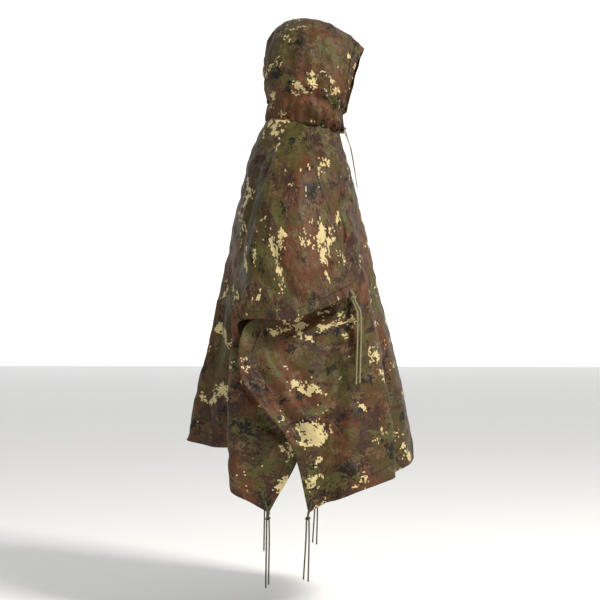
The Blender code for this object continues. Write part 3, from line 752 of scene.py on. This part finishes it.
def hood_wrinkled(section, share, side):
    """A point of the hood with its creases: gathers up from the neck, and a slack roll above it."""
    point = hood_point(section, share)
    step = 0.02
    along = hood_point(min(section + step, FACE), share) - hood_point(max(section - step, 0.0), share)
    up = hood_point(section, min(share + step, 0.5)) - hood_point(section, max(share - step, 0.0))
    square = np.cross(along, up)
    square /= np.linalg.norm(square) + 1e-9
    if square @ (point - np.array((0.0, 0.0, 0.15))) < 0.0:
        square = -square
    rise = share * FLAT_EDGE
    gather = 0.0035 * math.sin(section * 13.0 + 0.8 * math.sin(section * 5.0))
    gather *= math.exp(-((rise / 0.05) ** 2))
    crease = -0.006 * math.exp(-(((rise - 0.105 + 0.010 * (section - 3.0)) / 0.010) ** 2))
    crease *= min(1.0, 0.3 * section)
    roll = -0.011 * math.exp(-(((rise - 0.062 - 0.006 * math.sin(section * 2.0 + side)) / 0.014) ** 2))
    crumple = 0.007 * noise.noise(Vector((section * 2.3 + 4.0 * side, rise * 26.0, 1.0)))
    slack = min(1.0, max(0.0, (section - 3.2) / 2.0))
    chin = slack * 0.020 * math.exp(-(((rise - 0.020) / 0.022) ** 2))
    fade = min(1.0, (0.5 - share) / 0.04, share / 0.01)
    return point + square * fade * (gather + roll + crease + crumple + chin)


def casing_place(column, row):
    """A point of the casing, which follows the hood's edge on both sides."""
    share = EDGE_INSET + (1.0 - 2.0 * EDGE_INSET) * column
    point = hood_wrinkled(FACE - CASING_WIDTH * row, min(share, 1.0 - share), 1.0)
    return point if share <= 0.5 else mirrored(point)


for side_name, side in (("right", 1.0), ("left", -1.0)):

    def hood_place(column, row, side=side):
        """A point of a panel; the back edge meets the other panel's and the neck edge is tucked in."""
        section = (FACE - CASING_WIDTH - CASING_GAP) * column
        point = hood_wrinkled(section, EDGE_INSET + (0.5 - EDGE_INSET) * row, side)
        closed = max(0.0, 1.0 - column / 0.05)
        point[0] = min(point[0] * (1.0 - closed), -0.00005)
        point[2] -= NECK_TUCK * max(0.0, 1.0 - row / 0.03)
        return point * np.array((side, 1.0, 1.0))

    def hood_flat(column, row, side=side):
        """A panel's place in the printed cloth, away from the body's and the other panel's."""
        return (2.0 * side + FLAT_REACH * column, 3.0 + FLAT_REACH * row)

    panel = hood_piece(f"hood_panel_{side_name}", 72, 72, hood_place, hood_flat, HOOD_THICKNESS)
    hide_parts(f"hood_{side_name}")


def casing_flat(column, row):
    """The casing's place in the printed cloth."""
    return (5.0 + FLAT_EDGE * column, 0.03 * row)


casing = hood_piece("face_casing", 144, 6, casing_place, casing_flat, CASING_THICKNESS)
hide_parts("hood_casing")

# ---- Eyelets and press studs: blackened brass ----
# The six eyelets are rolled rings, set through holes punched in the hems at the corners and the hands. The
# studs are riveted to the front's side hems, so that the sides can be closed under the arms.
metal, metal_shader = node_tree("blackened_brass", (0.045, 0.043, 0.036), 0.38)
metal_shader.inputs["Metallic"].default_value = 0.9
for node_name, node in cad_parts.items():
    if node_name.startswith(("eyelet_", "stud_")):
        node.data.materials.clear()
        node.data.materials.append(metal)

# ---- Hood cord: thin braided nylon, run through the casing and knotted under the chin ----
# It comes out of the casing's two lower ends, meets in an overhand knot that keeps it from slipping back,
# and hangs down the front as two free ends.
HOOD_CORD_DIAMETER = 0.0032
HOOD_KNOT_RADIUS = 0.0036
HOOD_KNOT_CORD = 0.0030
HOOD_KNOT_DROP = 0.0040
HOOD_STRANDS = (
    ("a", (0.010, 0.022, -0.065), (0.012, 0.036, -0.166)),
    ("b", (-0.006, 0.020, -0.065), (-0.004, 0.038, -0.176)),
)
hood_braid = cord_material("hood_braid", (0.26, 0.24, 0.17))
hood_knot_centre = box_centre("hood_cord_knot")
hood_knot_line = knot_points(hood_knot_centre, HOOD_KNOT_RADIUS)
hood_knot = cord_curve("hood_knot", hood_knot_line, HOOD_KNOT_CORD, hood_braid)
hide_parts("hood_cord_knot")
for side_name, side in (("right", -1.0), ("left", 1.0)):
    casing_end = np.array((side * 0.016, -0.118, 0.002))
    knot_entry = hood_knot_centre + np.array((side * 0.002, 0.0, 0.004))
    outlet_line = smoothed([casing_end, 0.5 * (casing_end + hood_knot_centre), knot_entry], 16)
    cord_curve(f"hood_outlet_{side_name}", outlet_line, HOOD_CORD_DIAMETER, hood_braid)
for number, (letter, *drifts) in enumerate(HOOD_STRANDS):
    points = hanging_points(hood_knot_centre, number, drifts, HOOD_CORD_DIAMETER, HOOD_KNOT_DROP, 1.0)
    strand = cord_curve(f"hood_strand_{letter}", points, HOOD_CORD_DIAMETER, hood_braid)
    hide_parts(f"hood_cord_{letter}")

# ---- Floor, backdrop and light ----
# A plain pale floor a little below the hanging cords' ends and a white screen behind, lit by a warm lamp
# high at the front right and a weak, broad one at the back right.
FLOOR_HEIGHT = -1.45
WARM_WHITE = (1.0, 0.95, 0.86)
bpy.ops.object.select_all(action="DESELECT")
bpy.ops.mesh.primitive_plane_add(size=40.0, location=(0.0, 0.0, FLOOR_HEIGHT))
floor = bpy.context.object
floor.name = "floor"
floor_material, _ = node_tree("floor_paint", (0.92, 0.92, 0.92), 0.8)
floor.data.materials.append(floor_material)
upright = (0.0, math.radians(-90.0), 0.0)
bpy.ops.mesh.primitive_plane_add(size=60.0, location=(19.0, 0.0, 0.0), rotation=upright)
backdrop = bpy.context.object
backdrop.name = "backdrop"
backdrop_material, backdrop_shader = node_tree("lit_backdrop", (1.0, 1.0, 1.0), 0.8)
backdrop_shader.inputs["Emission Color"].default_value = (1.0, 1.0, 1.0, 1.0)
backdrop_shader.inputs["Emission Strength"].default_value = 0.6
backdrop.data.materials.append(backdrop_material)
world = bpy.data.worlds.new("world")
bpy.context.scene.world = world
world.use_nodes = True
world.node_tree.nodes["Background"].inputs["Color"].default_value = (1.0, 1.0, 1.0, 1.0)
world.node_tree.nodes["Background"].inputs["Strength"].default_value = 0.42
for light_name, energy, size, spot in (
    ("key", 400.0, 1.2, (-2.8, -3.2, 3.0)),
    ("fill", 30.0, 3.0, (-3.4, 2.4, 0.2)),
):
    light_data = bpy.data.lights.new(light_name, "AREA")
    light_data.energy = energy
    light_data.size = size
    light_data.color = WARM_WHITE
    light = bpy.data.objects.new(light_name, light_data)
    bpy.context.scene.collection.objects.link(light)
    light.location = spot
    light.rotation_mode = "QUATERNION"
    light.rotation_quaternion = (AIM - Vector(spot)).to_track_quat("-Z", "Y")
